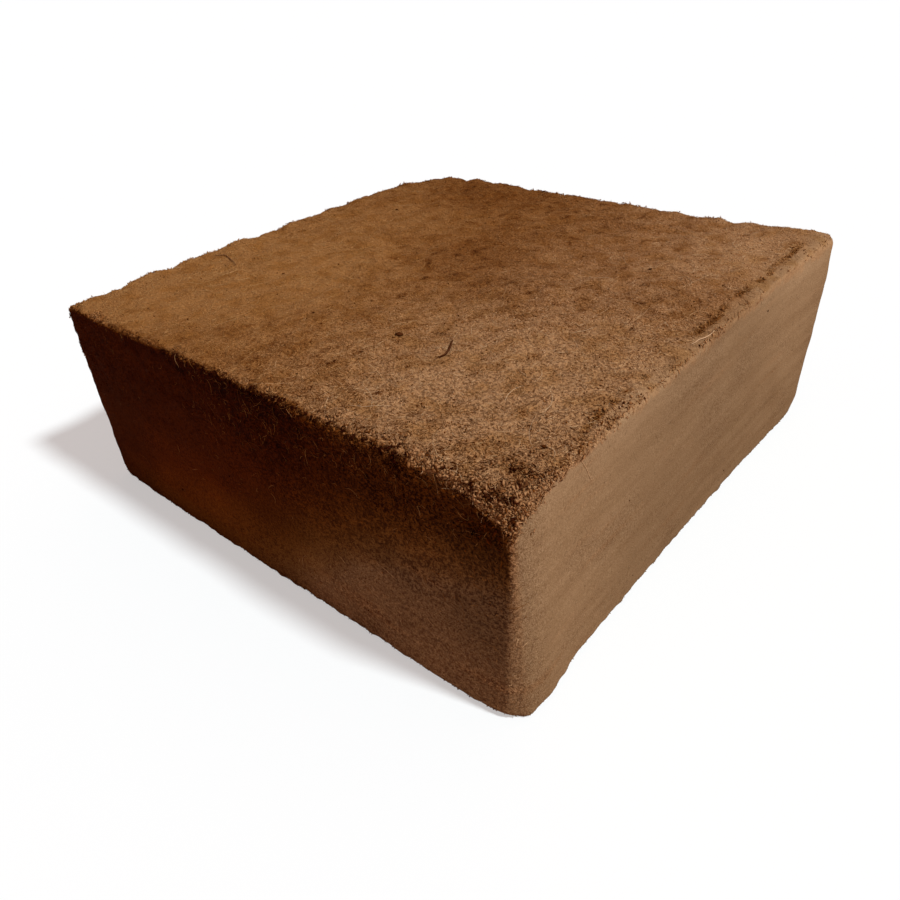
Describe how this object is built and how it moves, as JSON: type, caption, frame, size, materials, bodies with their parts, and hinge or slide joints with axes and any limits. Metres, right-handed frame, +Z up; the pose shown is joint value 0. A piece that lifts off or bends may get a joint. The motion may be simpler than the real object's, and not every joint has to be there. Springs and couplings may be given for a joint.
{
  "type": "coconut coir bale",
  "caption": "Square pressed bale of brown coconut coir, lying flat, with a rough matted top, worn top edges and smooth pressed sides.",
  "frame": {"origin": "middle of the flat base the bale lies on", "axes": "+Z up through the rough top, +X out of the smooth side that is lit in the picture, -Y out of the shaded side"},
  "size_m": [0.3, 0.3, 0.112],
  "materials": {
    "coir": "dry and dull, matted pith grains and short curly fibres on top, pressed smooth on the sides"
  },
  "bodies": {
    "root": {"coir_bale": "coir"}
  },
  "joints": []
}
